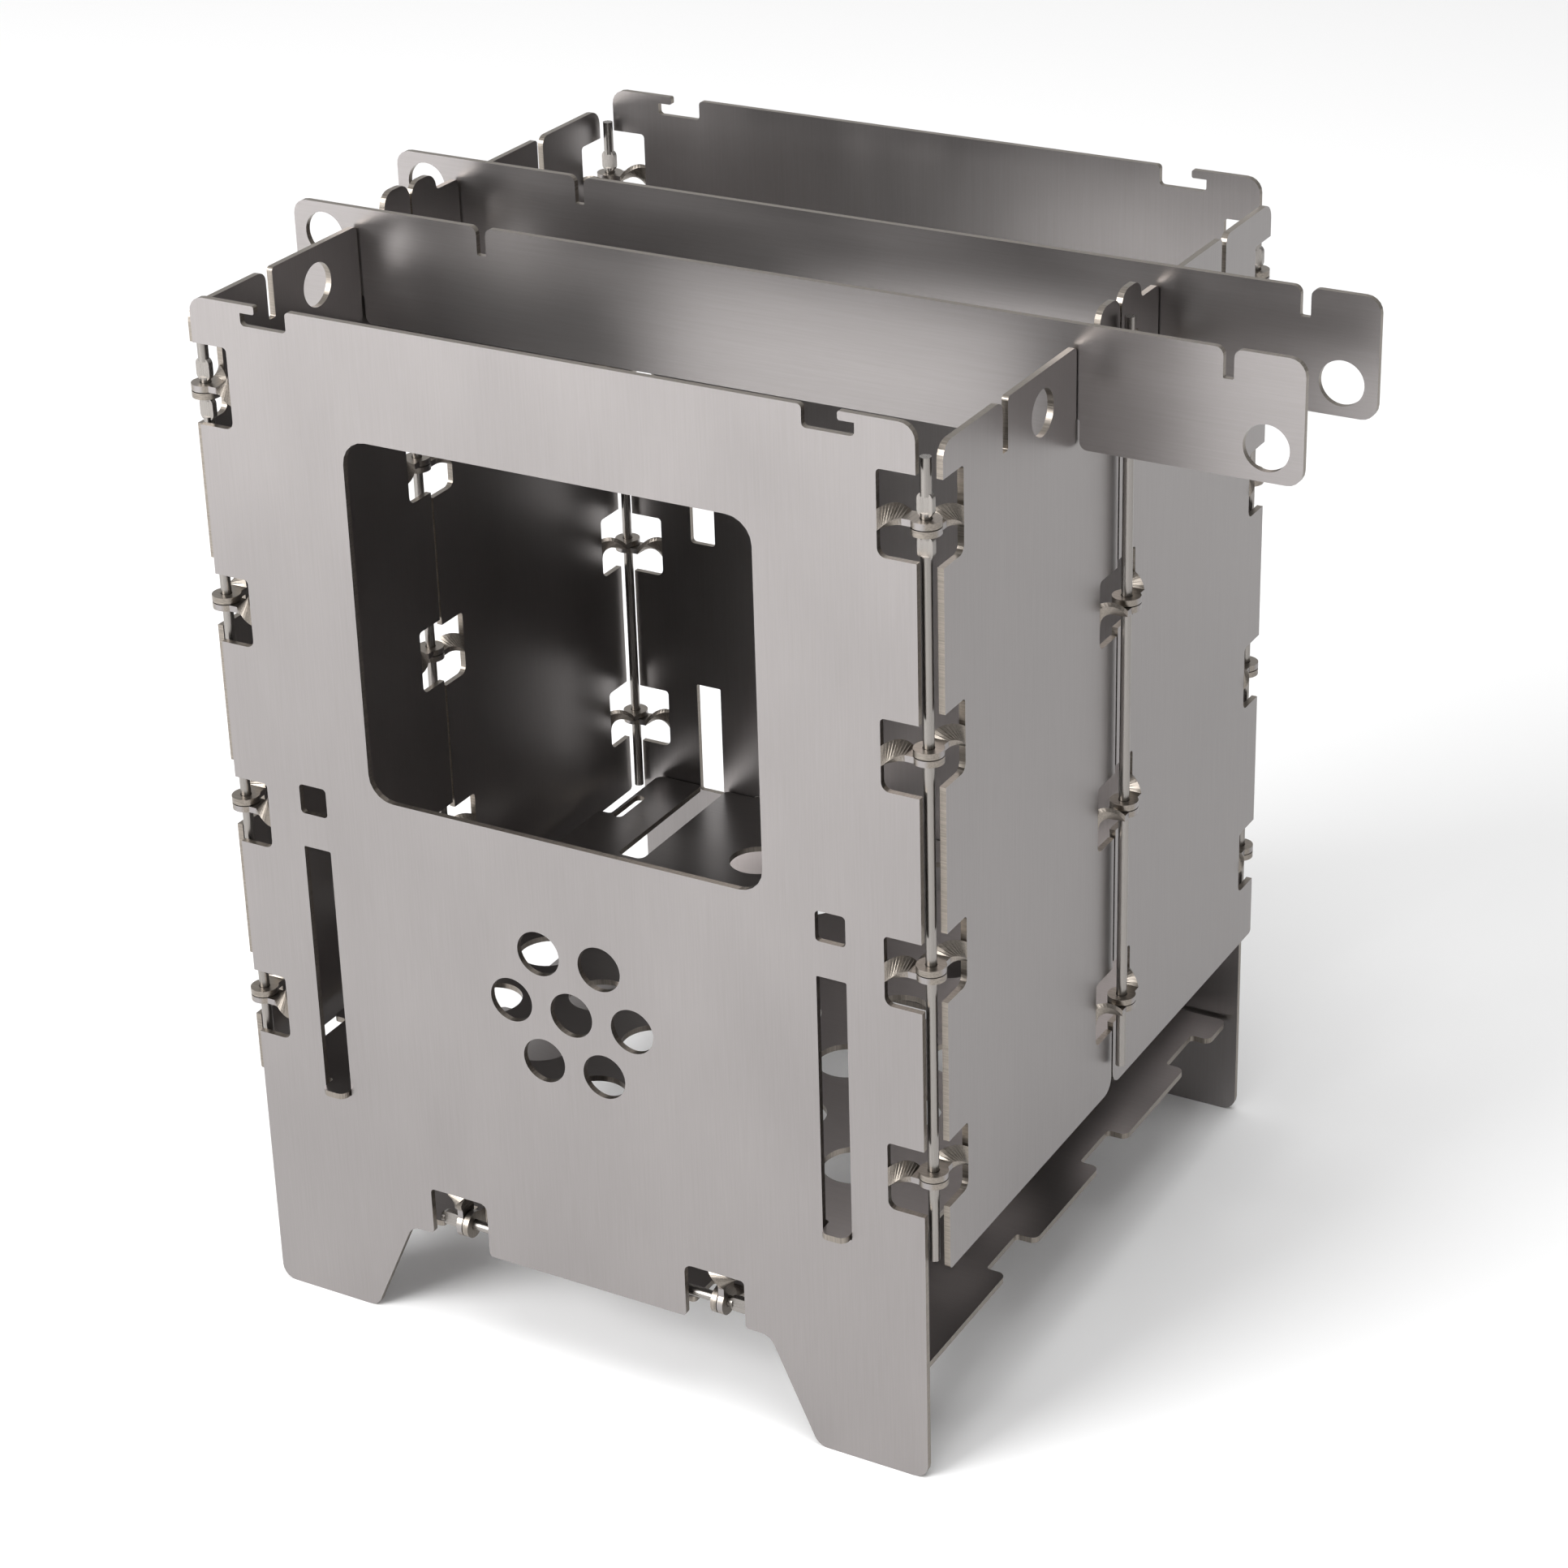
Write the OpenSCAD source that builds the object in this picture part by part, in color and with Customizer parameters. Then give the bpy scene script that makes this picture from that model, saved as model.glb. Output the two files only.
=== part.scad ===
// Folding box stove: four hinged walls, a hinged base plate, a hinged grate and two trivets.
// Front faces -Y, +Z is up, lengths in millimetres.
// Every hinge is a twisted sheet ear with an eye, threaded on a thin round rod.

/* [Walls] */
// Width of the front and rear panels
panel_w = 145; // [120:1:180]
// Height of the front and rear panels, feet included
panel_h = 207; // [180:1:240]
// Depth of the standing box, outer face to outer face
box_d = 143.5; // [120:0.5:180]
// Thickness of every sheet
sheet_t = 1.2; // [0.8:0.1:1.5]
// Height of the side walls above the ground, lower edge
side_low = 45; // [40:0.2:52]
// Height of the side walls above the ground, upper edge
side_top = 203; // [198:0.5:206]
// Step between the two halves of a side wall
half_rise = 0.5; // [0:0.1:3]
// Height of the tabs beside the middle hinge, above the side wall's upper edge
lobe_h = 3.5; // [3:0.1:5]
// Width of a tab beside the middle hinge
lobe_w = 8; // [7.4:0.2:10]
// Radius of the large outer corners
corner_r = 3; // [1:0.5:4]

/* [Feet] */
// Width of a foot at the ground
foot_w = 22.8; // [16:0.2:28]
// Reach of the foot's slope at the arch, from the panel edge
foot_slope_x = 32.6; // [29:0.2:35]
// Height of the arch between the feet
arch_z = 21.4; // [16:0.2:21.4]

/* [Hinges] */
// Diameter of the hinge rods
rod_d = 2; // [1.6:0.1:2.2]
// Play between a rod and an eye, on the diameter
rod_play = 0.2; // [0.2:0.1:0.6]
// Outer diameter of an eye
eye_d = 5.4; // [4.6:0.2:5.6]
// Offset of the rod's axis from the middle of the sheet that carries the eye
eye_offset = 2.4; // [2.2:0.1:3]
// Width of an ear's neck
ear_w = 3.8; // [3:0.1:4.2]
// Distance from the rod's axis to the root of an ear
root_u = 7.6; // [7:0.1:9]
// Distance from the rod's axis to where the twist ends
twist_end_u = 3.6; // [3:0.1:4.4]
// Play between two stacked eyes
stack_play = 0.2; // [0.1:0.05:0.3]
// Distance from the rod's axis to the edge of a panel
edge_u = 0.3; // [0.2:0.1:0.6]
// Height of the lowest hinge station
station_z = 63.9; // [60:0.1:66]
// Spacing of the hinge stations
station_pitch = 41.5; // [38:0.1:42]
// Depth of the gap above an ear
gap_above = 5.2; // [4.4:0.1:6]
// Depth of the gap below an ear
gap_below = 4.6; // [4:0.1:5.4]
// Extra height of the gap above the highest ear
gap_top_extra = 2; // [0:0.1:3]
// Lower end of the corner rods
corner_rod_low = 46.5; // [44:0.5:52]
// Upper end of the corner rods
corner_rod_top = 200.5; // [197:0.5:202]
// Lower end of the middle rods
mid_rod_low = 51; // [47:0.5:54]
// Upper end of the middle rods
mid_rod_top = 203; // [199:0.5:205]
// Width of a flattened crimp in a rod
crimp_w = 2.9; // [2.7:0.1:3.2]
// Thickness of a flattened crimp
crimp_t = 1.2; // [1:0.1:1.4]
// Length of a crimp along the rod
crimp_len = 4.4; // [3.6:0.2:5]

/* [Front openings] */
// Margin from the panel edge to the feed window
window_x = 31; // [26:0.5:40]
// Lower edge of the feed window
window_low = 114; // [106:0.5:120]
// Upper edge of the feed window
window_top = 185; // [176:0.5:192]
// Corner radius of the feed window
window_r = 5; // [4:0.5:12]
// Diameter of a vent hole
vent_d = 9; // [5:0.5:10]
// Spacing of the vent holes
vent_pitch = 13; // [12:0.5:15]
// Height of the middle of the vent
vent_z = 79; // [74:0.5:84]

/* [Slots and hooks] */
// Distance from the panel edge to the long slot
long_slot_x = 14.8; // [13:0.1:17]
// Width of the long slot
long_slot_w = 6; // [5:0.1:7]
// Lower end of the long slot
long_slot_low = 47.6; // [46:0.2:52]
// Upper end of the long slot
long_slot_top = 100.6; // [90:0.2:102]
// Height of each of the rear panel's slots
rear_slot_l = 26; // [20:0.5:34]
// Lower edge of the small square hole
square_hole_z = 107.6; // [105:0.2:112]
// Depth of a hooked notch in the top edge
hook_depth = 4; // [3:0.1:5]
// Thickness of the hook's finger
hook_t = 1.6; // [1.2:0.1:2]
// Distance from the panel edge to the end of the undercut
undercut_x = 11.1; // [10:0.1:12]
// Distance from the panel edge to the hook's tip
hook_tip_x = 14.2; // [13:0.1:15.5]
// Distance from the panel edge to the inner wall of the notch
hook_wall_x = 20.9; // [19:0.1:24]

/* [Trivets] */
// Length of a trivet
trivet_l = 207; // [195:1:220]
// Height of a trivet
trivet_h = 23; // [20:0.5:26]
// Overhang of a trivet past the left side wall
trivet_overhang = 14; // [12:0.5:18]
// Depth of a trivet's slots
lap_depth = 5.5; // [4:0.5:7]
// Play of a sheet in a slot
slot_play = 0.8; // [0.4:0.1:1]
// Diameter of the holes in trivets and side walls
lift_hole_d = 8.6; // [6:0.2:9]
// Distance of a trivet's hole from its end
end_hole_x = 6.8; // [6:0.1:8]
// Distance of a trivet's hole from its nearer long edge
end_hole_z = 6.2; // [5.5:0.1:7]
// Distance from the front panel to the trivet's seat
seat_y = 54.6; // [50:0.2:58]
// Distance from the front panel to the spare slot
spare_slot_y = 26; // [20:0.5:30]
// Depth of the spare slot
spare_slot_depth = 9.5; // [6:0.5:12]
// Depth of the seat slot in the front side halves
seat_depth = 13.5; // [12:0.5:18]

/* [Base plate and grate] */
// Height of the base rod above the ground
base_rod_z = 24; // [23.5:0.1:26]
// Distance from the panel edge to the base hinge's cut-out
base_cut_x = 37.8; // [36:0.2:40]
// Width of the base hinge's cut-out
base_cut_w = 12.8; // [12:0.1:14]
// Distance from the panel edge to the base plate's side edge
base_margin = 2; // [1.5:0.5:4]
// Depth of the base plate's side notches, which clear the wall hinges when it is folded up
base_notch = 4.2; // [4:0.1:6]
// Width of the rim round the base plate's opening
base_rim = 25; // [18:0.5:32]
// Distance from the panel edge to the grate's side edge
grate_margin = 1; // [0.6:0.1:2]
// Distance from the panel edge to the grate's side edge near its corners
grate_corner_x = 4; // [3.4:0.1:5]
// Length of the grate's drawn-in corners
grate_corner_y = 22; // [18:0.5:26]
// Gap between the grate and the front panel
grate_gap = 1; // [0.5:0.1:2]
// Reach of the grate's tongues and tabs past the panels
tongue_reach = 2; // [1:0.2:3]
// Distance from the panel edge to the grate's rear notch
rear_notch_x = 15.2; // [14:0.1:17]
// Width of the grate's rear notch
rear_notch_w = 6.3; // [5:0.1:7]
// Depth of the grate's rear notch
rear_notch_l = 36; // [24:0.5:40]
// Distance from the panel edge to the grate's rear tab
rear_tab_x = 29; // [27:0.5:34]
// Width of the grate's rear tab
rear_tab_w = 14; // [8:0.5:18]
// Diameter of the grate's holes
grate_hole_d = 12.5; // [8:0.1:13]
// Spacing of the holes along a column
grate_pitch = 21.4; // [20:0.1:24]
// Spacing of the columns of holes
grate_column = 18.9; // [17:0.1:20]
// Distance from the front panel's face to the middle of the field of holes
grate_field_y = 74; // [71:0.5:76]

/* [Hidden] */

// Overrun of the cutting shapes
over = 1;
// Segments in a rounded corner and steps in a twisted neck
arc_n = 5;
twist_n = 10;
round_fn = 48;
// Small corner radii of the cut outlines, sharp and soft, and that of a slot which locates a sheet
cut_r = 0.8;
edge_r = 1.6;
slot_r = 0.3;
// Radii of the slots' mouths
mouth_r = 1.5;
seat_mouth_r = 1;
spare_mouth_r = 2;

station_count = 4;
stack_pitch = sheet_t + stack_play;
eye_hole_d = rod_d + rod_play;
mid_t = sheet_t / 2;

// Rod axes: the corners stand just outside the panels' edges, the middle ones outside the walls
axis_x = panel_w + edge_u;
axis_y = mid_t + eye_offset;
wall_mid_x = axis_x + eye_offset;
mid_axis_x = wall_mid_x + eye_offset;
half_l = box_d / 2 - axis_y;

// Shift from the front panel's lower left corner to the centre of the part's outline
trivet_x0 = -(wall_mid_x - panel_w) - trivet_overhang;
shift_x = trivet_x0 + trivet_l / 2;
shift_y = box_d / 2;

slot_w = sheet_t + slot_play;
lap_z = side_top - seat_depth;
trivet_low = lap_z - lap_depth;
high_top = side_top + half_rise;
high_low = side_low + half_rise;
cut_slope = 1.3;
centre_low = arch_z - cut_slope;
base_cut_top = base_rod_z + root_u;
base_mid_z = base_rod_z - eye_offset;
base_station = base_cut_x + base_cut_w / 2;
grate_low = long_slot_low;
eye_r = eye_d / 2;
notch_half = ear_w / 2;

// Middle height of a hinge station
function station(k) = station_z + k * station_pitch;
// Every station but the top one stacks the wall's eye on the panel's
function side_up(k) = k < station_count - 1 ? 1 : -1;
function panel_eye(k) = station(k) - side_up(k) * stack_pitch / 2;
function side_eye(k) = station(k) + side_up(k) * stack_pitch / 2;
function gap_top(k) = notch_half + gap_above + (k == station_count - 1 ? gap_top_extra : 0);

function unit(v) = v / norm(v);
// Points of the arc that rounds the corner b between its neighbours a and c with radius b[2]
function arc_points(a, b, c) =
    let (p = [b[0], b[1]],
         d1 = unit([a[0], a[1]] - p),
         d2 = unit([c[0], c[1]] - p),
         half = acos(max(-1, min(1, d1 * d2))) / 2,
         centre = p + unit(d1 + d2) * b[2] / sin(half),
         s1 = p + d1 * b[2] / tan(half) - centre,
         s2 = p + d2 * b[2] / tan(half) - centre,
         a1 = atan2(s1[1], s1[0]),
         turn = atan2(s1[0] * s2[1] - s1[1] * s2[0], s1 * s2))
    [for (i = [0 : arc_n]) centre + b[2] * [cos(a1 + turn * i / arc_n), sin(a1 + turn * i / arc_n)]];
// A closed outline from corners [x, y, radius]
function rounded(pts) =
    [for (i = [0 : len(pts) - 1])
        let (n = len(pts), a = pts[(i + n - 1) % n], b = pts[i], c = pts[(i + 1) % n])
        each (b[2] > 0 ? arc_points(a, b, c) : [[b[0], b[1]]])];
// A rounded rectangle
function box_points(x0, z0, x1, z1, r) = rounded([[x0, z0, r], [x1, z0, r], [x1, z1, r], [x0, z1, r]]);

// A sheet standing in the XZ plane, centred on Y = 0, from a flat outline
module standing_sheet() {
    translate([0, mid_t, 0]) rotate([90, 0, 0]) linear_extrude(sheet_t) children();
}

// A sheet lying flat, its lower face at the given height
module lying_sheet(z) {
    translate([0, 0, z]) linear_extrude(sheet_t) children();
}

// Round hole as a true cylinder through a standing sheet
module drill(x, z, d) {
    translate([x, mid_t + over, z]) rotate([90, 0, 0])
        cylinder(d = d, h = sheet_t + 2 * over, $fn = round_fn);
}

// One section of a twisting neck, from upright at s = 0 to lying at s = 1
function neck_section(s) =
    let (u = root_u - (root_u - twist_end_u) * s,
         width_dir = [0, sin(90 * s), cos(90 * s)],
         thick_dir = [0, cos(90 * s), -sin(90 * s)],
         centre = [u, 0, 0] + width_dir * eye_offset * s)
    [for (c = [[-1, -1], [1, -1], [1, 1], [-1, 1]])
        centre + thick_dir * mid_t * c[0] + width_dir * ear_w / 2 * c[1]];

// The twisted neck, a sheet strip turned a quarter between the wall and the eye
module neck() {
    points = [for (i = [0 : twist_n]) each neck_section(i / twist_n)];
    sides = [for (i = [0 : twist_n - 1], j = [0 : 3])
        let (a = 4 * i + j, b = 4 * i + (j + 1) % 4)
        each [[a, b, b + 4], [a, b + 4, a + 4]]];
    last = 4 * twist_n;
    polyhedron(points, concat(sides, [[3, 2, 1, 0], [last, last + 1, last + 2, last + 3]]));
}

// A whole ear. The axis is upright through the origin, the sheet lies along +X, its middle at
// Y = -eye_offset, so that the eye sits to one side of the sheet.
module ear() {
    translate([0, -eye_offset, 0]) neck();
    translate([0, 0, -mid_t]) difference() {
        union() {
            cylinder(d = eye_d, h = sheet_t, $fn = round_fn);
            translate([0, -ear_w / 2, 0]) cube([twist_end_u, ear_w, sheet_t]);
        }
        translate([0, 0, -over]) cylinder(d = eye_hole_d, h = sheet_t + 2 * over, $fn = round_fn);
    }
}

// Gap in a sheet's edge round an ear at height z. The edge faces -X, the axis is at X = 0.
module gap_shape(z, top) {
    polygon(rounded([[-over, z - notch_half - gap_below, 0], [root_u, z - notch_half - gap_below, edge_r],
        [root_u, z + top, cut_r], [-over, z + top, 0]]));
}

// Outline of half a panel's feet, arch and base hinge cut-out, from the left edge to the middle
function foot_points() = [
    [0, 0, corner_r], [foot_w, 0, corner_r], [foot_slope_x, arch_z, corner_r],
    [base_cut_x, arch_z, cut_r], [base_cut_x, base_cut_top, cut_r],
    [base_cut_x + base_cut_w, base_cut_top, edge_r], [base_cut_x + base_cut_w, centre_low, cut_r]];
function hook_points() = [
    [hook_wall_x, panel_h, cut_r], [hook_wall_x, panel_h - hook_depth, cut_r],
    [undercut_x, panel_h - hook_depth, cut_r], [undercut_x, panel_h - hook_t, 0],
    [hook_tip_x, panel_h - hook_t, cut_r / 2], [hook_tip_x, panel_h, cut_r / 2], [0, panel_h, corner_r]];
function mirrored(pts) = [for (i = [len(pts) - 1 : -1 : 0]) [panel_w - pts[i][0], pts[i][1], pts[i][2]]];
function panel_outline() = concat(foot_points(), mirrored(foot_points()), mirrored(hook_points()), hook_points());

// What the front and rear panels share: outline, hinge gaps, ears, and the slots up to the given heights
module panel_body(slot_top, upper_top) {
    standing_sheet() difference() {
        polygon(rounded(panel_outline()));
        for (side = [0, 1], k = [0 : station_count - 1])
            translate([side * panel_w, 0]) mirror([side, 0])
                translate([-edge_u, 0]) gap_shape(panel_eye(k), gap_top(k));
        for (side = [0, 1]) translate([side * panel_w, 0]) mirror([side, 0]) {
            polygon(box_points(long_slot_x, long_slot_low, long_slot_x + long_slot_w, slot_top, slot_r));
            polygon(box_points(long_slot_x, square_hole_z, long_slot_x + long_slot_w, upper_top, cut_r));
        }
    }
    for (side = [0, 1], k = [0 : station_count - 1])
        translate([side * panel_w, 0, 0]) mirror([side, 0, 0])
            translate([-edge_u, eye_offset, panel_eye(k)]) ear();
}

// An ear hanging from the top of a base hinge's cut-out, its eye square to X
module hanging_ear(x) {
    translate([x, eye_offset, base_rod_z]) rotate([0, -90, 0]) ear();
}

module base_station_places() {
    for (side = [0, 1]) translate([side * panel_w, 0, 0]) mirror([side, 0, 0]) translate([base_station, 0, 0])
        children();
}

module front_panel() {
    color([0.62, 0.6, 0.59]) {
        translate([-shift_x, mid_t - shift_y, 0]) difference() {
            union() {
                panel_body(long_slot_top, square_hole_z + long_slot_w);
                for (side = [0, 1]) translate([side * panel_w, 0, 0]) mirror([side, 0, 0])
                    hanging_ear(base_station - stack_pitch / 2);
            }
            standing_cut() polygon(box_points(window_x, window_low, panel_w - window_x, window_top, window_r));
            drill(panel_w / 2, vent_z, vent_d);
            for (a = [0 : 60 : 300])
                drill(panel_w / 2 + vent_pitch * cos(a), vent_z + vent_pitch * sin(a), vent_d);
        }
    }
}

// A cut through a standing sheet
module standing_cut() {
    translate([0, mid_t + over, 0]) rotate([90, 0, 0]) linear_extrude(sheet_t + 2 * over) children();
}

// The rear panel also has a low slot for each of the grate's tabs
module rear_panel() {
    color([0.6, 0.58, 0.57]) translate([-shift_x, shift_y - mid_t, 0]) mirror([0, 1, 0]) difference() {
        panel_body(long_slot_low + rear_slot_l, square_hole_z + rear_slot_l);
        for (side = [0, 1]) translate([side * panel_w, 0, 0]) mirror([side, 0, 0])
            standing_cut() polygon(box_points(rear_tab_x - tab_play, grate_low - tab_play,
                rear_tab_x + rear_tab_w + tab_play, grate_low + sheet_t + tab_play, cut_r));
    }
}
tab_play = 0.4;

// A slot cut down from a sheet's top edge, as outline corners from its high side to its low side in X
function top_slot(x, top, floor_z, near_r, far_r) = [
    [x + slot_w / 2, top, far_r], [x + slot_w / 2, floor_z, slot_r],
    [x - slot_w / 2, floor_z, slot_r], [x - slot_w / 2, top, near_r]];

// Outline of half a side wall: a tab beside the middle hinge, the trivet's slot and a spare slot
function side_outline(low, top) = concat(
    [[edge_u, low, cut_r], [half_l - edge_u, low, corner_r], [half_l - edge_u, top + lobe_h, lobe_r],
     [half_l - edge_u - lobe_w, top + lobe_h, lobe_r], [half_l - edge_u - lobe_w - lobe_lean, top, cut_r]],
    top_slot(seat_x, top, lap_z, seat_mouth_r, seat_mouth_r),
    top_slot(spare_x, top, top - spare_slot_depth, spare_mouth_r, cut_r),
    [[edge_u, top, corner_r]]);
lobe_r = 3;
lobe_lean = 0.5;
seat_x = seat_y - axis_y;
spare_x = spare_slot_y - axis_y;

// Half a side wall in the XZ plane. The corner rod is at X = 0 and the middle rod at X = half_l.
// low and top are its edges, eye_step lifts its middle eyes.
module side_half(low, top, eye_step) {
    difference() {
        standing_sheet() difference() {
            polygon(rounded(side_outline(low, top)));
            for (k = [0 : station_count - 1]) {
                gap_shape(side_eye(k), gap_top(k));
                translate([half_l, 0]) mirror([1, 0]) gap_shape(side_eye(k) + eye_step, gap_top(k));
            }
        }
        drill((seat_x + spare_x) / 2, top - hole_drop, lift_hole_d);
    }
    for (k = [0 : station_count - 1]) {
        translate([0, eye_offset, side_eye(k)]) ear();
        translate([half_l, -eye_offset, side_eye(k) + eye_step]) rotate([0, 0, 180]) ear();
    }
}

// Depth of the lifting hole's centre below the side wall's top edge
hole_drop = 7.5;

module front_half_place() {
    translate([panel_w / 2 - shift_x, axis_y - shift_y, 0])
        translate([wall_mid_x - panel_w / 2, 0, 0]) rotate([0, 0, 90]) children();
}

// Turns a right-hand wall half a turn about the stove's upright middle, to the left
module half_turned() {
    translate([panel_w / 2 - shift_x, 0, 0]) rotate(180) translate([shift_x - panel_w / 2, 0, 0])
        children();
}

module front_half() {
    front_half_place() side_half(side_low, side_top, 0);
}

module rear_half() {
    mirror([0, 1, 0]) front_half_place() side_half(high_low, high_top, stack_pitch);
}

module right_front_side() color([0.58, 0.56, 0.55]) front_half();
module right_rear_side() color([0.56, 0.54, 0.53]) rear_half();
module left_front_side() color([0.5, 0.48, 0.47]) half_turned() rear_half();
module left_rear_side() color([0.48, 0.46, 0.45]) half_turned() front_half();

// A rod along Z from low to top, squeezed flat and wide at each of the given heights
module crimped_rod(low, top, crimps) {
    flat_l = crimp_len - crimp_w / 2;
    difference() {
        translate([0, 0, low]) cylinder(d = rod_d, h = top - low, $fn = round_fn);
        for (z = crimps, dir = [-1, 1])
            translate([0, dir * (crimp_t / 2 + rod_d / 2), z]) cube([2 * rod_d, rod_d, flat_l], center = true);
    }
    for (z = crimps) translate([0, crimp_t / 2, z]) rotate([90, 0, 0]) linear_extrude(crimp_t)
        polygon(box_points(-crimp_w / 2, -crimp_len / 2, crimp_w / 2, crimp_len / 2, crimp_w * crimp_share));
}
crimp_share = 0.42;
crimp_reach = stack_pitch + crimp_len / 2 + stack_play;

// An upright rod crimped above and below the stack of eyes at the top station
module wall_rod(x, y, low, top, stack_z) {
    color([0.75, 0.74, 0.72]) translate([x - shift_x, y - shift_y, 0])
        crimped_rod(low, top, [stack_z - crimp_reach, stack_z + crimp_reach]);
}

module corner_rod(x, y) wall_rod(x, y, corner_rod_low, corner_rod_top, station(station_count - 1));
module mid_rod(x) wall_rod(x, box_d / 2, mid_rod_low, mid_rod_top,
    side_eye(station_count - 1) + stack_pitch / 2);

module rod_front_right() corner_rod(axis_x, axis_y);
module rod_front_left() corner_rod(panel_w - axis_x, axis_y);
module rod_rear_right() corner_rod(axis_x, box_d - axis_y);
module rod_rear_left() corner_rod(panel_w - axis_x, box_d - axis_y);
module rod_mid_right() mid_rod(mid_axis_x);
module rod_mid_left() mid_rod(panel_w - mid_axis_x);

// The base rod, crimped just outside the two stacks of eyes
module base_rod() {
    crimp_x = panel_w / 2 - base_station + crimp_reach;
    half = crimp_x + crimp_len / 2;
    color([0.75, 0.74, 0.72]) translate([panel_w / 2 - shift_x, axis_y - shift_y, base_rod_z])
        rotate([0, 90, 0]) crimped_rod(-half, half, [-crimp_x, crimp_x]);
}

// Outline of the base plate: notched sides, hinge cut-outs in front, two tongues behind
base_front = axis_y + edge_u;
base_rear = box_d - sheet_t - grate_gap;
base_tongue_play = 0.4;
function side_notch(k) = let (y = station(k) - base_rod_z + axis_y) [
    [base_margin, y - notch_half - gap_below, edge_r],
    [base_margin + base_notch, y - notch_half - gap_below, cut_r],
    [base_margin + base_notch, y + notch_half + gap_below, cut_r],
    [base_margin, y + notch_half + gap_below, edge_r]];
function base_half() = concat(
    [[base_station + base_cut_w / 2, base_front, cut_r],
     [base_station + base_cut_w / 2, axis_y + root_u, cut_r],
     [base_station - base_cut_w / 2, axis_y + root_u, cut_r],
     [base_station - base_cut_w / 2, base_front, cut_r], [base_margin, base_front, edge_r]],
    [for (k = [0 : station_count - 2]) each side_notch(k)],
    [[base_margin, base_rear, edge_r], [base_cut_x + base_tongue_play, base_rear, cut_r],
     [base_cut_x + base_tongue_play, box_d, cut_r],
     [base_cut_x + base_cut_w - base_tongue_play, box_d, cut_r],
     [base_cut_x + base_cut_w - base_tongue_play, base_rear, cut_r]]);

module base_plate() {
    pts = base_half();
    color([0.45, 0.43, 0.42]) translate([-shift_x, -shift_y, 0]) {
        lying_sheet(base_mid_z - mid_t) difference() {
            polygon(rounded(concat(pts, mirrored(pts))));
            polygon(box_points(base_rim, base_rim, panel_w - base_rim, box_d - base_rim, 2 * corner_r));
        }
        base_station_places() translate([stack_pitch / 2, axis_y, base_rod_z])
            rotate([0, 0, 90]) rotate([90, 0, 0]) ear();
    }
}

// Outline of half the grate: a tongue in the front long slot, drawn-in corners, an open notch and a tab behind
rear_gap = 0.3;
grate_y0 = sheet_t + grate_gap;
grate_y1 = box_d - sheet_t - rear_gap;
tongue_play = 0.35;
// Front corner notches let the grate rise past the wall hinges
corner_play = 1;
grate_notch_x = root_u - edge_u + corner_play;
grate_notch_y = axis_y + eye_r + corner_play;
tongue_x0 = long_slot_x + tongue_play;
tongue_x1 = long_slot_x + long_slot_w - tongue_play;
function grate_half() = [
    [tongue_x1, grate_y0, cut_r], [tongue_x1, -tongue_reach, edge_r],
    [tongue_x0, -tongue_reach, edge_r], [tongue_x0, grate_y0, cut_r],
    [grate_notch_x, grate_y0, cut_r], [grate_notch_x, grate_notch_y, cut_r],
    [grate_corner_x, grate_notch_y, edge_r], [grate_corner_x, grate_corner_y, cut_r],
    [grate_margin, grate_corner_y, cut_r], [grate_margin, box_d - grate_corner_y, cut_r],
    [grate_corner_x, box_d - grate_corner_y, cut_r], [grate_corner_x, grate_y1, edge_r],
    [rear_notch_x, grate_y1, cut_r], [rear_notch_x, grate_y1 - rear_notch_l, edge_r],
    [rear_notch_x + rear_notch_w, grate_y1 - rear_notch_l, edge_r],
    [rear_notch_x + rear_notch_w, grate_y1, cut_r],
    [rear_tab_x, grate_y1, cut_r], [rear_tab_x, box_d + tongue_reach, cut_r],
    [rear_tab_x + rear_tab_w, box_d + tongue_reach, cut_r], [rear_tab_x + rear_tab_w, grate_y1, cut_r]];

// Narrow closed slots near the rear corners
edge_slot_x = 4.7;
edge_slot_w = 2.4;
edge_slot_y = 120.7;
edge_slot_l = 11;
edge_slot_r = 1.1;

module grate() {
    pts = grate_half();
    color([0.42, 0.4, 0.39]) translate([-shift_x, -shift_y, 0]) difference() {
        lying_sheet(grate_low) polygon(rounded(concat(pts, mirrored(pts))));
        for (side = [0, 1]) translate([side * panel_w, 0, 0]) mirror([side, 0, 0]) {
            grate_column(0, [-2.5 : 2.5]);
            grate_column(1, [-2 : 2]);
            grate_column(2, [-2.5 : 0.5]);
            translate([0, 0, grate_low - over]) linear_extrude(sheet_t + 2 * over)
                polygon(box_points(edge_slot_x, edge_slot_y, edge_slot_x + edge_slot_w,
                    edge_slot_y + edge_slot_l, edge_slot_r));
        }
    }
}

// A column of holes, counted from the middle of the grate, at the given rows
module grate_column(column, rows) {
    x = panel_w / 2 - (column + 0.5) * grate_column;
    for (row = rows) translate([x, grate_field_y + row * grate_pitch, grate_low - over])
        cylinder(d = grate_hole_d, h = sheet_t + 2 * over, $fn = round_fn);
}

// The lower edge of a trivet with its two slots. Half a turn about the trivet's middle makes it the upper one.
far_slot = trivet_overhang + 2 * wall_mid_x - panel_w;
function trivet_slot(x) = [
    [x - slot_w / 2, 0, mouth_r], [x - slot_w / 2, lap_depth, slot_r],
    [x + slot_w / 2, lap_depth, slot_r], [x + slot_w / 2, 0, mouth_r]];
function trivet_edge() = concat(
    [[0, 0, corner_r]], trivet_slot(trivet_overhang), trivet_slot(far_slot), [[trivet_l, 0, corner_r]]);
function trivet_turned() = [for (p = trivet_edge()) [trivet_l - p[0], trivet_h - p[1], p[2]]];

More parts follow.
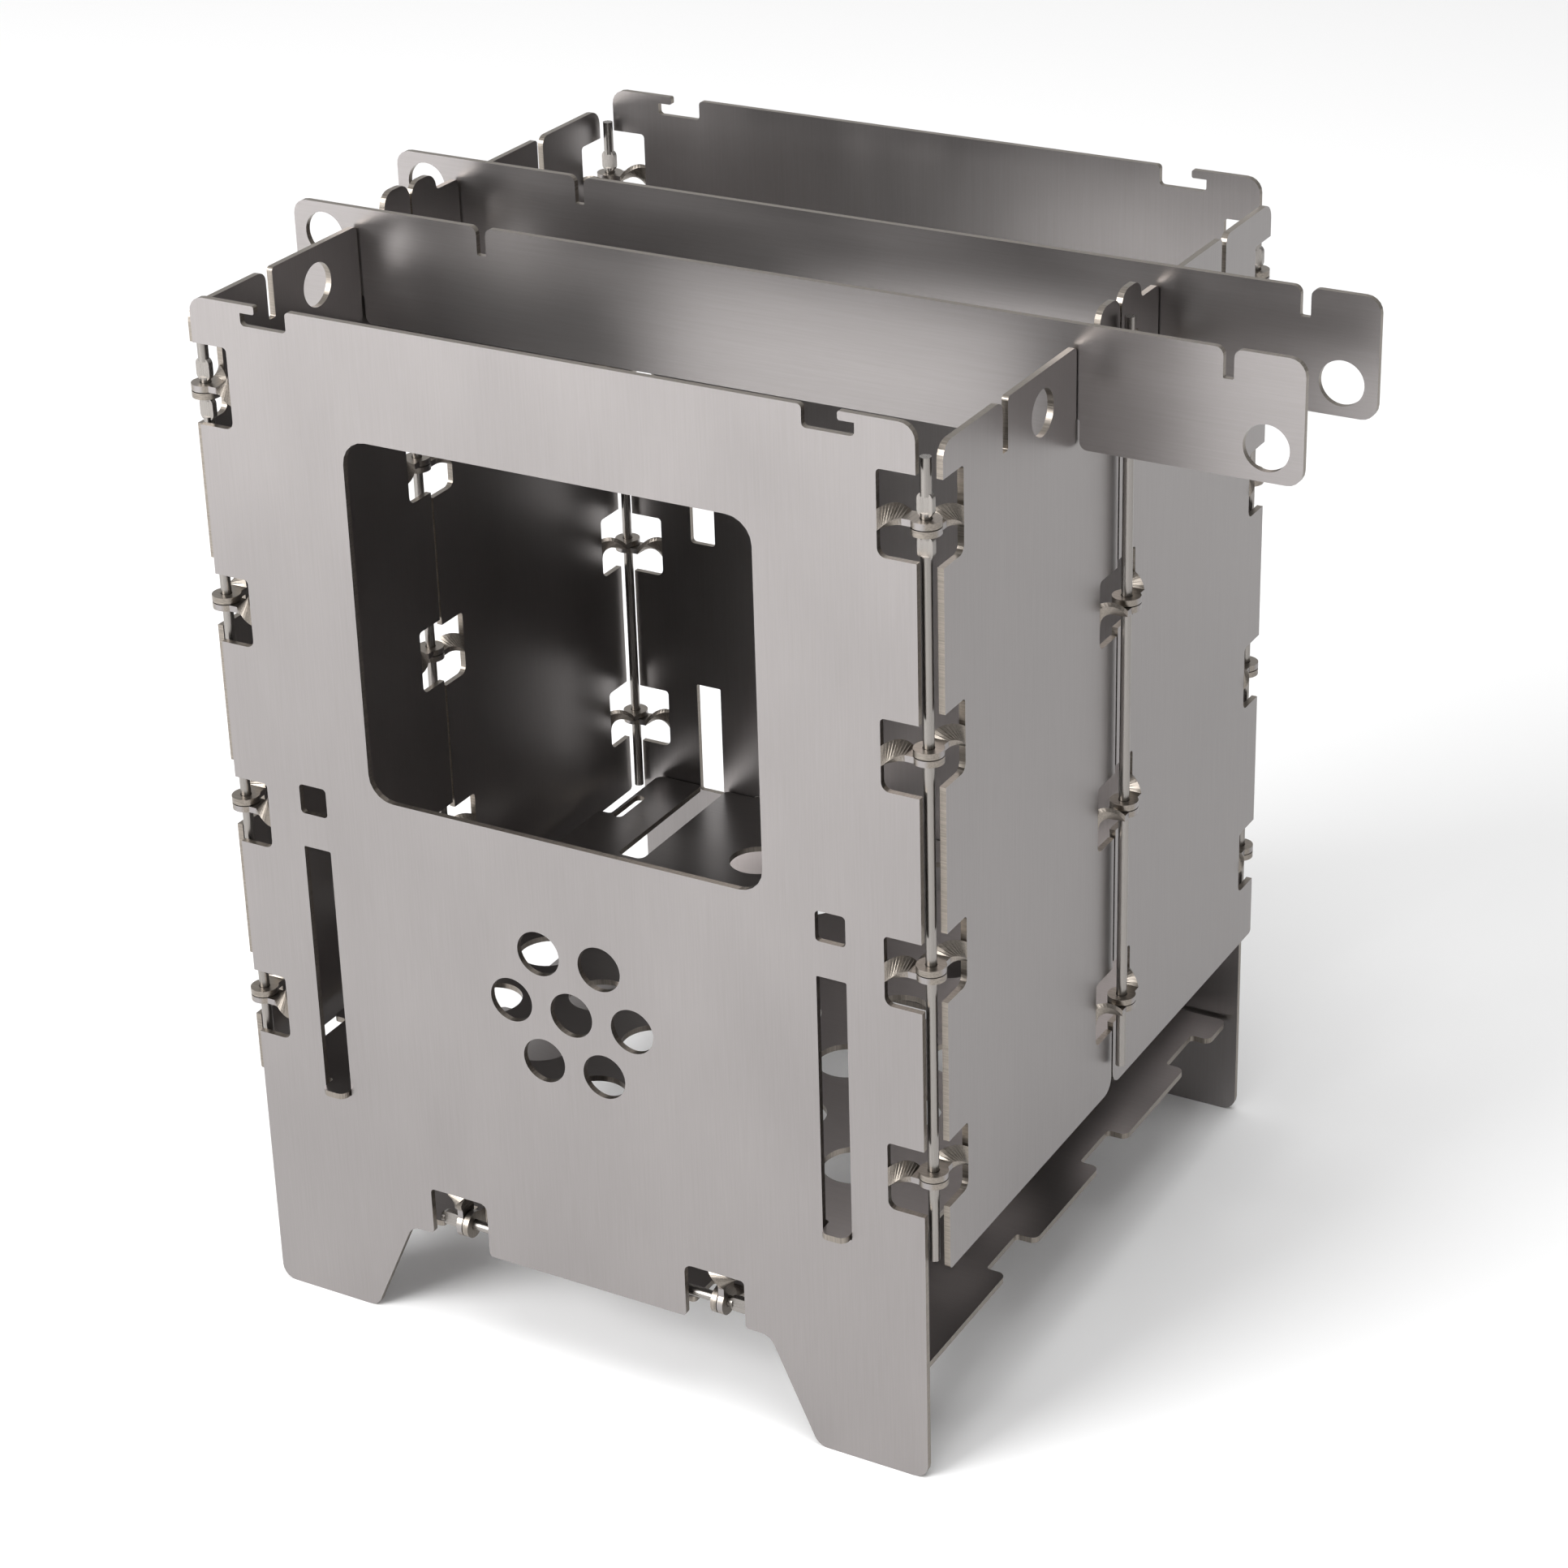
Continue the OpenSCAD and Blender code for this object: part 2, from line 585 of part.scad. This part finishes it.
// A trivet. Half a turn about its middle carries it into itself, so either long edge can be up.
module trivet() {
    difference() {
        standing_sheet() polygon(rounded(concat(trivet_edge(), trivet_turned())));
        drill(end_hole_x, trivet_h - end_hole_z, lift_hole_d);
        drill(trivet_l - end_hole_x, end_hole_z, lift_hole_d);
    }
}

module trivet_front() {
    color([0.66, 0.64, 0.62]) translate([trivet_x0 - shift_x, seat_y - shift_y, trivet_low]) trivet();
}

module trivet_rear() {
    color([0.6, 0.58, 0.56]) translate([trivet_x0 - shift_x, shift_y - seat_y, trivet_low]) trivet();
}

front_panel();
rear_panel();
right_front_side();
right_rear_side();
left_front_side();
left_rear_side();
rod_front_right();
rod_front_left();
rod_rear_right();
rod_rear_left();
rod_mid_right();
rod_mid_left();
base_rod();
base_plate();
grate();
trivet_front();
trivet_rear();
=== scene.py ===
"""The looks of a folding wood stove in thin titanium sheet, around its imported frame."""

import math

import bpy
from mathutils import Matrix, Vector

bl_info = {
    "name": "Folding wood stove",
    "version": (1, 0, 0),
    "blender": (4, 5, 0),
    "location": "View3D > Sidebar > Stove",
    "description": "Finishes the sheets and rods of a folding wood stove and sets its stage",
    "category": "Object",
}

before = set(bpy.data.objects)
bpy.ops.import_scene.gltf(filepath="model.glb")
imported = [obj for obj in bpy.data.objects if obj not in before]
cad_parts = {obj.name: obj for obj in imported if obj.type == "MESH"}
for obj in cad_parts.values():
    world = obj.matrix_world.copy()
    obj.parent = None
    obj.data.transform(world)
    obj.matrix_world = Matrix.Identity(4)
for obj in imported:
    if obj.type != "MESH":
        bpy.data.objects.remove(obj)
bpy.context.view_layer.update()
MM = 0.001

# Each group of sheets lies across one axis and was rolled along another
X, Y, Z = 0, 1, 2
WALLS_ACROSS_Y = ("front_panel", "rear_panel")
WALLS_ACROSS_X = ("right_front_side", "right_rear_side", "left_front_side", "left_rear_side")
PLATES = ("base_plate", "grate")
TRIVETS = ("trivet_front", "trivet_rear")
WALL_RODS = (
    "rod_front_right", "rod_front_left", "rod_rear_right", "rod_rear_left", "rod_mid_right", "rod_mid_left",
)
BASE_ROD = "base_rod"


def linear(hex_colour):
    """The linear colour of an sRGB hex value such as #a09c98."""
    values = [int(hex_colour[i:i + 2], 16) / 255 for i in (1, 3, 5)]
    return tuple(v / 12.92 if v <= 0.04045 else ((v + 0.055) / 1.055) ** 2.4 for v in values)


class StoveFinish(bpy.types.PropertyGroup):
    """Colours and gloss of the stove's metal."""

    sheet_colour: bpy.props.FloatVectorProperty(
        name="Sheet colour", description="Bare rolled titanium", subtype="COLOR",
        default=linear("#908c8b"), min=0, max=1)
    edge_colour: bpy.props.FloatVectorProperty(
        name="Edge colour", description="Laser-cut edges and twisted ears", subtype="COLOR",
        default=linear("#8b847c"), min=0, max=1)
    rod_colour: bpy.props.FloatVectorProperty(
        name="Rod colour", description="Drawn stainless wire", subtype="COLOR",
        default=linear("#8e8a86"), min=0, max=1)
    sheet_roughness: bpy.props.FloatProperty(
        name="Sheet roughness", description="How far the sheet blurs what it reflects",
        subtype="FACTOR", default=0.32, min=0, max=1)
    rod_roughness: bpy.props.FloatProperty(
        name="Rod roughness", description="How far the rods blur what they reflect",
        subtype="FACTOR", default=0.27, min=0, max=1)


class StoveStage(bpy.types.PropertyGroup):
    """Floor and the pale surround that lights it."""

    floor_colour: bpy.props.FloatVectorProperty(
        name="Floor colour", description="Plain pale floor", subtype="COLOR",
        default=linear("#f6f6f6"), min=0, max=1)
    surround_colour: bpy.props.FloatVectorProperty(
        name="Surround colour", description="Pale studio walls all round", subtype="COLOR",
        default=linear("#fbfbfb"), min=0, max=1)
    floor_size: bpy.props.FloatProperty(
        name="Floor size", description="Side of the square floor", subtype="DISTANCE",
        unit="LENGTH", default=8, min=1)


# Materials


def node(tree, kind, settings=None, **links):
    """Adds a node with its settings, its input values and the sockets that feed its inputs."""
    made = tree.nodes.new(kind)
    for key, value in (settings or {}).items():
        if isinstance(key, str) and hasattr(made, key):
            setattr(made, key, value)
        else:
            made.inputs[key].default_value = value
    for key, source in links.items():
        tree.links.new(source, made.inputs[int(key[1:])] if key[1:].isdigit() else made.inputs[key])
    return made


def new_material(name):
    made = bpy.data.materials.new(name)
    made.use_nodes = True
    tree = made.node_tree
    tree.nodes.clear()
    shader = node(tree, "ShaderNodeBsdfPrincipled", {"Metallic": 1.0})
    output = node(tree, "ShaderNodeOutputMaterial")
    tree.links.new(shader.outputs[0], output.inputs[0])
    return made, tree, shader


# Grain of cold-rolled sheet. The real lines are about 0.05 mm apart, too fine to show, so they are
# drawn at 0.35 mm and faint.
GRAIN_MM = 0.35
GRAIN_LENGTH_MM = 14
CLOUD_MM = 30
# Striations that the laser leaves through the thickness of a cut edge
STRIPE_MM = 0.25
STRIPE_LENGTH_MM = 6
# Die lines on the wire
LINE_MM = 0.3
LINE_LENGTH_MM = 20
RELIEF_MM = 0.02


def stretched_noise(tree, along, width_mm, length_mm, detail=3.0):
    """Noise whose cells are long along one axis (0, 1 or 2) and narrow along the others."""
    where = node(tree, "ShaderNodeTexCoord")
    scale = [1 / (width_mm * MM)] * 3
    scale[along] = 1 / (length_mm * MM)
    mapped = node(tree, "ShaderNodeMapping", {"Scale": scale}, Vector=where.outputs["Object"])
    return node(
        tree, "ShaderNodeTexNoise", {"Scale": 1.0, "Detail": detail, "Roughness": 0.6},
        Vector=mapped.outputs[0]).outputs["Fac"]


def ranged(tree, source, low, high, from_low=0.3, from_high=0.7):
    return node(
        tree, "ShaderNodeMapRange",
        {"From Min": from_low, "From Max": from_high, "To Min": low, "To Max": high},
        Value=source).outputs[0]


def multiplied(tree, a, b):
    return node(tree, "ShaderNodeMath", {"operation": "MULTIPLY"}, _0=a, _1=b).outputs[0]


def toned(tree, tone, colour):
    """A colour made lighter or darker by a tone."""
    grey = node(tree, "ShaderNodeCombineColor", _0=tone, _1=tone, _2=tone).outputs[0]
    mixed = node(tree, "ShaderNodeMix", {"data_type": "RGBA", "blend_type": "MULTIPLY", 0: 1.0}, _7=grey)
    mixed.inputs[6].default_value = (*colour, 1)
    return mixed.outputs[2]


def rolled_titanium(name, across, along, finish):
    """Bare titanium sheet, cold rolled and laser cut.

    Rolling leaves a satin grey that blurs reflections into soft bands, drawn out square to the
    grain. The cut edges are darker and browner, with fine striations through the thickness.
    """
    made, tree, shader = new_material(name)
    where = node(tree, "ShaderNodeTexCoord")
    normal = node(tree, "ShaderNodeSeparateXYZ", Vector=where.outputs["Normal"])
    facing = node(tree, "ShaderNodeMath", {"operation": "ABSOLUTE"}, _0=normal.outputs[across]).outputs[0]
    face = ranged(tree, facing, 0.0, 1.0, 0.9, 0.99)

    grain = stretched_noise(tree, along, GRAIN_MM, GRAIN_LENGTH_MM)
    cloud = stretched_noise(tree, along, CLOUD_MM, 2 * CLOUD_MM, detail=2.0)

    tone = multiplied(tree, ranged(tree, grain, 0.97, 1.03), ranged(tree, cloud, 0.96, 1.04))
    sheet = toned(tree, tone, finish.sheet_colour)
    stripes = stretched_noise(tree, across, STRIPE_MM, STRIPE_LENGTH_MM, detail=2.0)
    edge_tone = ranged(tree, stripes, 0.72, 1.15)
    edge = toned(tree, edge_tone, finish.edge_colour)
    colour = node(tree, "ShaderNodeMix", {"data_type": "RGBA"}, _0=face, _6=edge, _7=sheet)
    tree.links.new(colour.outputs[2], shader.inputs["Base Color"])

    rough = ranged(tree, cloud, finish.sheet_roughness - 0.04, finish.sheet_roughness + 0.04)
    edge_rough = ranged(tree, stripes, 0.28, 0.44)
    blend = node(tree, "ShaderNodeMix", {"data_type": "FLOAT"}, _0=face, _2=edge_rough, _3=rough)
    tree.links.new(blend.outputs[0], shader.inputs["Roughness"])

    bump = node(
        tree, "ShaderNodeBump", {"Strength": 0.1, "Distance": RELIEF_MM * MM}, Height=grain)
    tree.links.new(bump.outputs[0], shader.inputs["Normal"])
    return made


def drawn_steel(name, along, finish):
    """Stainless wire, drawn through a die, which leaves it bright with fine lines along its length."""
    made, tree, shader = new_material(name)
    lines = stretched_noise(tree, along, LINE_MM, LINE_LENGTH_MM)
    tone = ranged(tree, lines, 0.9, 1.05)
    tree.links.new(toned(tree, tone, finish.rod_colour), shader.inputs["Base Color"])
    rough = ranged(tree, lines, finish.rod_roughness - 0.04, finish.rod_roughness + 0.08)
    tree.links.new(rough, shader.inputs["Roughness"])
    bump = node(tree, "ShaderNodeBump", {"Strength": 0.15, "Distance": RELIEF_MM * MM}, Height=lines)
    tree.links.new(bump.outputs[0], shader.inputs["Normal"])
    return made


def dress(names, material):
    for name in names:
        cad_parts[name].data.materials.clear()
        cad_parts[name].data.materials.append(material)


class STOVE_OT_walls(bpy.types.Operator):
    """Gives the four walls their rolled and laser-cut titanium"""

    bl_idname = "stove.walls"
    bl_label = "Finish the walls"

    def execute(self, context):
        finish = context.scene.stove_finish
        dress(WALLS_ACROSS_Y, rolled_titanium("titanium_walls_front_rear", Y, Z, finish))
        dress(WALLS_ACROSS_X, rolled_titanium("titanium_walls_sides", X, Z, finish))
        return {"FINISHED"}


class STOVE_OT_plates(bpy.types.Operator):
    """Gives the base plate and the grate their rolled and laser-cut titanium"""

    bl_idname = "stove.plates"
    bl_label = "Finish the base plate and grate"

    def execute(self, context):
        dress(PLATES, rolled_titanium("titanium_plates", Z, X, context.scene.stove_finish))
        return {"FINISHED"}


class STOVE_OT_trivets(bpy.types.Operator):
    """Gives the trivets their rolled and laser-cut titanium"""

    bl_idname = "stove.trivets"
    bl_label = "Finish the trivets"

    def execute(self, context):
        dress(TRIVETS, rolled_titanium("titanium_trivets", Y, X, context.scene.stove_finish))
        return {"FINISHED"}


class STOVE_OT_rods(bpy.types.Operator):
    """Gives the hinge rods their drawn stainless steel"""

    bl_idname = "stove.rods"
    bl_label = "Finish the hinge rods"

    def execute(self, context):
        finish = context.scene.stove_finish
        dress(WALL_RODS, drawn_steel("drawn_steel_upright", Z, finish))
        dress((BASE_ROD,), drawn_steel("drawn_steel_lying", X, finish))
        return {"FINISHED"}


# The camera of the photograph, in the frame's metres and degrees
EYE = (0.31689, -0.56241, 0.42305)
TURN = -28.73
DIP = 24.64
ROLL = -1.116
PHOTO_PX = 1932
FOCAL_PX = 4580.2
CENTRE_PX = (1062.95, 792.9)
SENSOR_MM = 36


def add_camera():
    data = bpy.data.cameras.new("photo_camera")
    data.sensor_width = SENSOR_MM
    data.lens = FOCAL_PX * SENSOR_MM / PHOTO_PX
    data.shift_x = (PHOTO_PX / 2 - CENTRE_PX[0]) / PHOTO_PX
    data.shift_y = (CENTRE_PX[1] - PHOTO_PX / 2) / PHOTO_PX
    data.clip_start = 0.01
    camera = bpy.data.objects.new("photo_camera", data)
    turn, dip, roll = (math.radians(a) for a in (TURN, DIP, ROLL))
    ahead = Vector((math.sin(turn) * math.cos(dip), math.cos(turn) * math.cos(dip), -math.sin(dip)))
    level = Vector((math.cos(turn), -math.sin(turn), 0))
    up = level.cross(ahead)
    right = math.cos(roll) * level + math.sin(roll) * up
    top = math.cos(roll) * up - math.sin(roll) * level
    camera.matrix_world = Matrix.Translation(EYE) @ Matrix((right, top, -ahead)).transposed().to_4x4()
    bpy.context.scene.collection.objects.link(camera)
    bpy.context.scene.camera = camera


def add_softbox(name, place, target, size, watts):
    data = bpy.data.lights.new(name, "AREA")
    data.shape = "RECTANGLE"
    data.size, data.size_y = size
    data.energy = watts
    lamp = bpy.data.objects.new(name, data)
    lamp.location = place
    lamp.rotation_euler = (Vector(target) - Vector(place)).to_track_quat("-Z", "Y").to_euler()
    bpy.context.scene.collection.objects.link(lamp)
    return lamp


# Strength of the studio walls, which are dimmer on the stove's right, and the sideways directions
# between which it falls
SURROUND_LEFT_RIGHT = (0.76, 0.3)
FALL_FROM = -0.2
FALL_TO = 1.0
LIT_POINT = (-0.01, 0, 0.1)
KEY_PLACE = (-0.9, -1.5, 0.9)
KEY_SIZE = (1.2, 1.2)
KEY_WATTS = 48
TOP_PLACE = (0.2, -0.3, 1.6)
TOP_SIZE = (0.8, 0.8)
TOP_WATTS = 11


class STOVE_OT_stage(bpy.types.Operator):
    """Sets the floor, the soft studio light and the camera"""

    bl_idname = "stove.stage"
    bl_label = "Set the stage"

    def execute(self, context):
        stage = context.scene.stove_stage
        bpy.ops.object.select_all(action="DESELECT")
        bpy.ops.mesh.primitive_plane_add(size=stage.floor_size, location=(0, 0, 0))
        floor = context.object
        floor.name = "floor"
        made, _, shader = new_material("matt_floor")
        shader.inputs["Metallic"].default_value = 0
        shader.inputs["Roughness"].default_value = 0.9
        shader.inputs["Base Color"].default_value = (*stage.floor_colour, 1)
        floor.data.materials.append(made)

        world = bpy.data.worlds.new("studio")
        world.use_nodes = True
        back = world.node_tree.nodes["Background"]
        back.inputs[0].default_value = (*stage.surround_colour, 1)
        tree = world.node_tree
        aim = node(tree, "ShaderNodeTexCoord").outputs["Generated"]
        across = node(tree, "ShaderNodeSeparateXYZ", Vector=aim).outputs[0]
        tree.links.new(ranged(tree, across, *SURROUND_LEFT_RIGHT, FALL_FROM, FALL_TO), back.inputs[1])
        context.scene.world = world
        context.scene.view_settings.view_transform = "Standard"
        context.scene.view_settings.look = "None"

        add_softbox("key_softbox", KEY_PLACE, LIT_POINT, KEY_SIZE, KEY_WATTS)
        add_softbox("top_softbox", TOP_PLACE, LIT_POINT, TOP_SIZE, TOP_WATTS)
        add_camera()
        return {"FINISHED"}


class STOVE_PT_panel(bpy.types.Panel):
    """Lists the stove's steps in the 3D view's sidebar"""

    bl_idname = "STOVE_PT_panel"
    bl_label = "Folding wood stove"
    bl_space_type = "VIEW_3D"
    bl_region_type = "UI"
    bl_category = "Stove"

    def draw(self, context):
        for settings in (context.scene.stove_finish, context.scene.stove_stage):
            for name in settings.__annotations__:
                self.layout.prop(settings, name)
        for step in STEPS:
            self.layout.operator(step.bl_idname)


STEPS = (STOVE_OT_walls, STOVE_OT_plates, STOVE_OT_trivets, STOVE_OT_rods, STOVE_OT_stage)
CLASSES = (StoveFinish, StoveStage, *STEPS, STOVE_PT_panel)


def register():
    for item in CLASSES:
        bpy.utils.register_class(item)
    bpy.types.Scene.stove_finish = bpy.props.PointerProperty(type=StoveFinish)
    bpy.types.Scene.stove_stage = bpy.props.PointerProperty(type=StoveStage)


def unregister():
    del bpy.types.Scene.stove_stage
    del bpy.types.Scene.stove_finish
    for item in reversed(CLASSES):
        bpy.utils.unregister_class(item)


def main():
    register()
    bpy.ops.stove.walls()
    bpy.ops.stove.plates()
    bpy.ops.stove.trivets()
    bpy.ops.stove.rods()
    bpy.ops.stove.stage()


if __name__ == "__main__":
    main()
